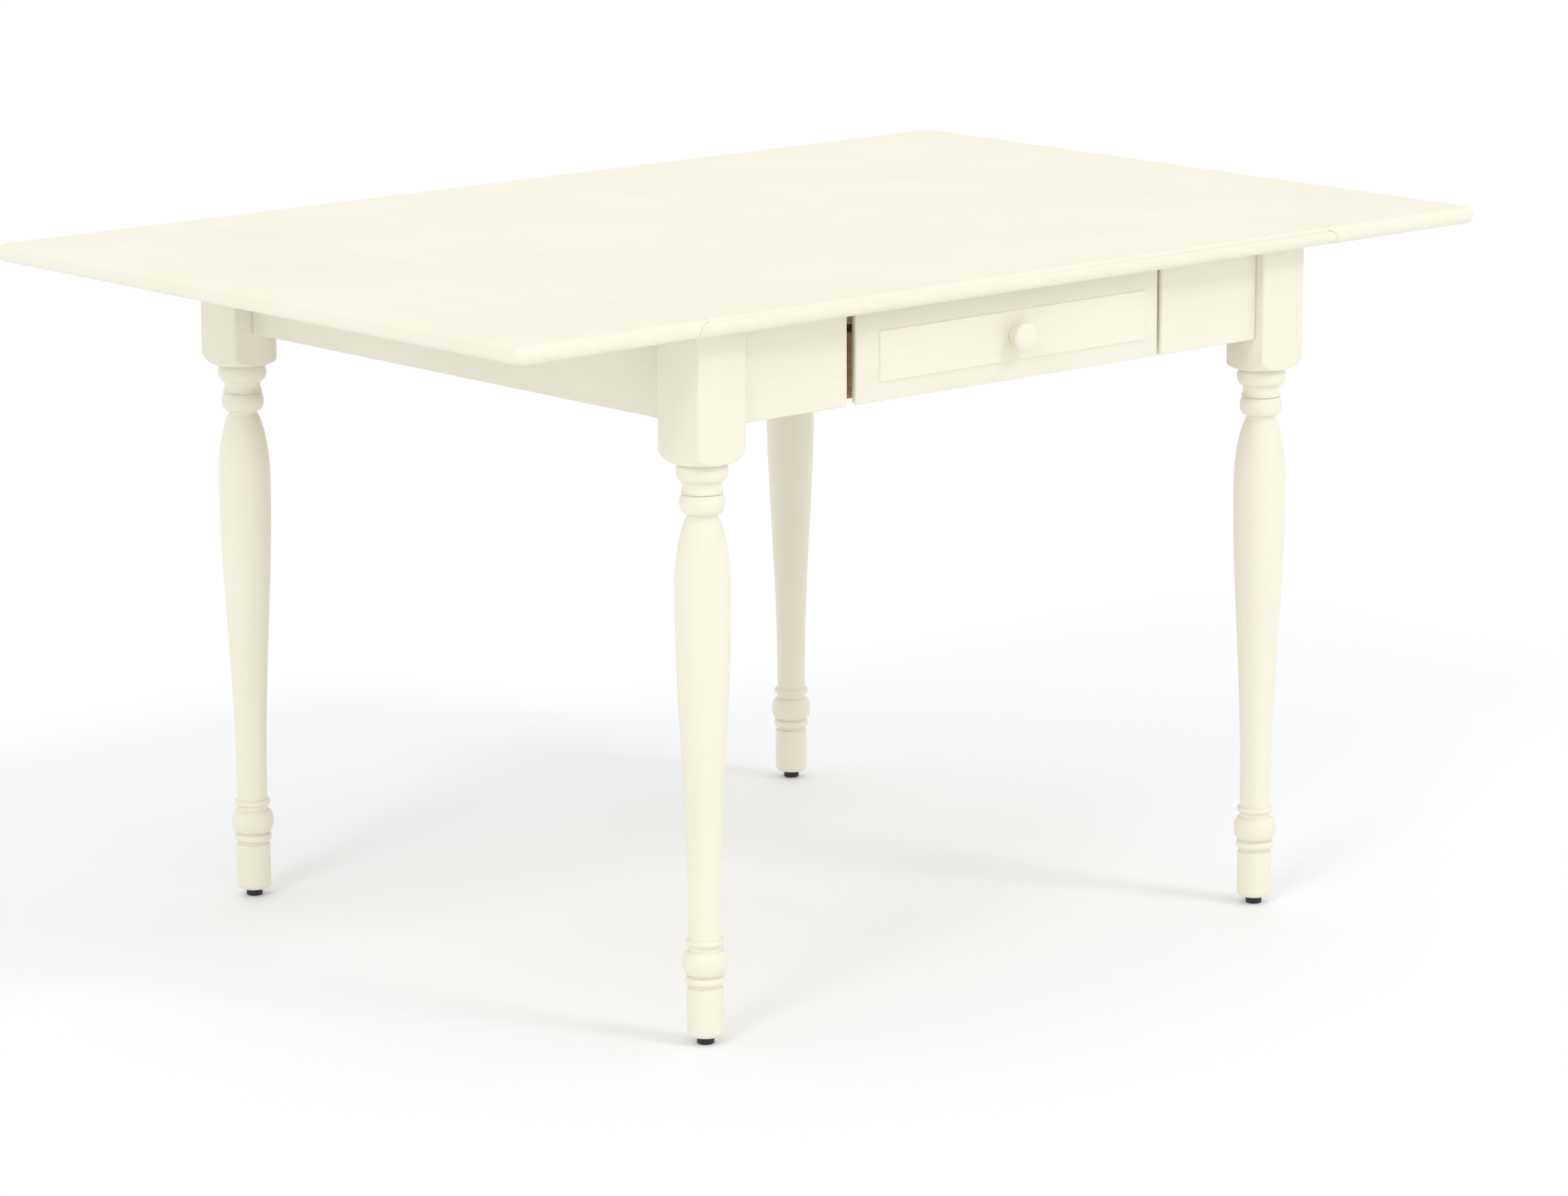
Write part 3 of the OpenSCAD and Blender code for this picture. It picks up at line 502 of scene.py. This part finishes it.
def build_drawer_front():
    """Raised panel: side lips, round outer edge, sloped border, a small step, and a flat field."""
    low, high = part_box("drawer_front")
    centre_x, centre_z = (low.x + high.x) / 2, (low.z + high.z) / 2
    half_x, half_z = (high.x - low.x) / 2, (high.z - low.z) / 2
    field_y = low.y
    border_x, border_z = 26 * MM, 22 * MM
    step, drop = 1.5 * MM, 6 * MM
    edge_y = field_y + step + drop
    lip_reach, lip_back = 7 * MM, edge_y + 4 * MM
    round_r, field_r = 1.6 * MM, 0.8 * MM

    def ring(inset_x, inset_z, y):
        x, z = half_x - inset_x, half_z - inset_z
        return [(centre_x + sx * x, y, centre_z + sz * z) for sx, sz in AROUND]

    rings = [ring(lip_reach, 0, high.y), ring(lip_reach, 0, lip_back), ring(0, 0, lip_back)]
    for i in range(6):
        turn = math.pi / 2 * i / 5
        inset = round_r * (1 - math.cos(turn))
        rings.append(ring(inset, inset, edge_y + round_r * (1 - math.sin(turn)) + 0.1 * MM))
    for share in (0.12, 0.5, 0.90, 0.965):
        rings.append(ring(round_r + (border_x - round_r) * share, round_r + (border_z - round_r) * share,
                          edge_y - drop * share))
    rings.append(ring(border_x - 0.35 * MM, border_z - 0.35 * MM, field_y + step + 0.05 * MM))
    for i in range(5):
        turn = math.pi / 2 * i / 4
        inset = field_r * (1 - math.cos(turn))
        rings.append(ring(border_x + inset, border_z + inset, field_y + field_r * (1 - math.sin(turn))))
    rings.append(ring(border_x + 6 * MM, border_z + 6 * MM, field_y))
    panel = loft("drawer_front_panel", rings)
    return add_piece("drawer_front_panel", panel, "drawer_front", smooth_angle=28.0)


# ---- Knob ----

def build_knob():
    """Turned knob: base ring, flared stem and domed head, laid towards the front."""
    low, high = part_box("drawer_knob")
    centre_x, centre_z = (low.x + high.x) / 2, (low.z + high.z) / 2
    head_r = (high.x - low.x) / 2 / MM
    stem_r, stem_z = 7.2, 3.2
    flare_r, flare_h = head_r - 1.6 - stem_r, 9.0
    dome_z, dome_h = 16.0, 8.0
    base = [(9.0, 0.0), (9.5, 0.5), (9.5, 1.6), (8.9, 2.4), (8.0, stem_z)]
    flare = [(stem_r + flare_r * (1 - math.cos(turn)), stem_z + flare_h * math.sin(turn))
             for turn in map(math.radians, range(0, 91, 10))]
    dome = [(head_r * math.cos(turn), dome_z + dome_h * math.sin(turn))
            for turn in map(math.radians, range(-20, 86, 7))]
    outline = softened(base + flare + dome, 0.5)
    steps = 72
    rings = [
        [(centre_x + r * MM * math.cos(math.tau * i / steps), high.y - z * MM,
          centre_z + r * MM * math.sin(math.tau * i / steps)) for i in range(steps)]
        for r, z in outline
    ]
    knob = loft("drawer_knob_turned", rings)
    return add_piece("drawer_knob_turned", knob, "drawer_knob", smooth_angle=60.0)


# ---- Everything else that shows: lengths in millimetres ----

APRONS = ("apron_front_left", "apron_front_right", "apron_back", "apron_end_left", "apron_end_right")
APRON_EDGE = 1.6           # radius of the eased edges
APRON_SHORTEST = 90.0      # shorter edges stay sharp

INNER_WOOD_SHORTEST = 20.0

# Radius of the eased edges by the start of the node's name
INNER_WOOD_EDGES = {
    "support_front": 2.2, "support_back": 2.2, "drawer_side": 1.5, "drawer_back": 1.2,
    "front_stretcher": 1.0, "drawer_stop": 0.8, "drawer_runner": 1.0, "corner_block": 1.0,
}


def build_aprons():
    """Eases the long edges of the aprons."""
    for node in APRONS:
        eased_copy(node, "wood", APRON_EDGE * MM, APRON_SHORTEST * MM)


def build_inner_wood():
    """Eases the long edges of the unpainted parts."""
    for node in NODES:
        for start, radius in INNER_WOOD_EDGES.items():
            if node.startswith(start):
                eased_copy(node, "wood", radius * MM, INNER_WOOD_SHORTEST * MM)


def dress_cad_nodes():
    """Gives every CAD node that still shows its procedural finish."""
    for node, obj in NODES.items():
        if not obj.hide_render:
            obj.data.materials.clear()
            obj.data.materials.append(finish_of(SLOT_OF[node], grain_axis(node)))


# ---- Stage, light and camera ----

def build_floor():
    corners = [(sx * FLOOR_HALF, sy * FLOOR_HALF, 0) for sx, sy in AROUND]
    mesh = bpy.data.meshes.new("studio_floor")
    mesh.from_pydata(corners, [], [(0, 1, 2, 3)])
    floor = bpy.data.objects.new("studio_floor", mesh)
    bpy.context.scene.collection.objects.link(floor)
    s = Shader("pale_floor")
    dust = s.noise(s.even(3.0), detail=3.0)
    shade = s.mix(dust, FLOOR_PALE, FLOOR_DUST)
    roughness = s.fit(dust, 0.3, 0.7, 0.55, 0.65)
    mesh.materials.append(s.finish(shade, roughness, s.bump(dust, 0.02 * MM, 0.2)))


def add_softbox(name, heading, height, strength):
    """Broad distant lamp: heading is in degrees from the front (-Y) towards the right (+X), and
    height in degrees above the floor."""
    light = bpy.data.lights.new(name, "SUN")
    light.energy = strength
    light.angle = math.radians(SOFTBOX_SPREAD)
    lamp = bpy.data.objects.new(name, light)
    bpy.context.scene.collection.objects.link(lamp)
    turn, rise = math.radians(heading), math.radians(height)
    towards = Vector((math.sin(turn) * math.cos(rise), -math.cos(turn) * math.cos(rise), math.sin(rise)))
    lamp.location = SOFTBOX_DISTANCE * towards
    lamp.rotation_euler = towards.to_track_quat("Z", "Y").to_euler()
    lamp.visible_glossy = False     # keeps the lamps out of the paint's sheen


def build_light():
    world = bpy.data.worlds.new("studio")
    world.use_nodes = True
    background = world.node_tree.nodes["Background"]
    background.inputs["Color"].default_value = STUDIO_WHITE
    background.inputs["Strength"].default_value = STUDIO_STRENGTH
    bpy.context.scene.world = world
    add_softbox("softbox_right", heading=22.0, height=42.0, strength=0.50)
    add_softbox("softbox_left", heading=-67.0, height=35.0, strength=0.42)
    bpy.context.scene.view_settings.view_transform = "Standard"


def build_camera():
    heading, down, roll = (math.radians(v) for v in (VIEW_HEADING, VIEW_DOWN, VIEW_ROLL))
    look = Vector((math.sin(heading) * math.cos(down), math.cos(heading) * math.cos(down), -math.sin(down)))
    data = bpy.data.cameras.new("camera")
    data.sensor_width = 36.0
    data.lens = VIEW_LENS
    data.clip_end = 200.0
    camera = bpy.data.objects.new("camera", data)
    bpy.context.scene.collection.objects.link(camera)
    camera.location = VIEW_AIM - look * VIEW_DISTANCE
    turned = look.to_track_quat("-Z", "Y") @ Quaternion((0, 0, 1), roll)
    camera.rotation_euler = turned.to_euler()
    bpy.context.scene.camera = camera


build_boards()
for corner in CORNERS:
    build_leg(corner)
build_aprons()
build_drawer_front()
build_knob()
build_inner_wood()
dress_cad_nodes()
build_floor()
build_light()
build_camera()
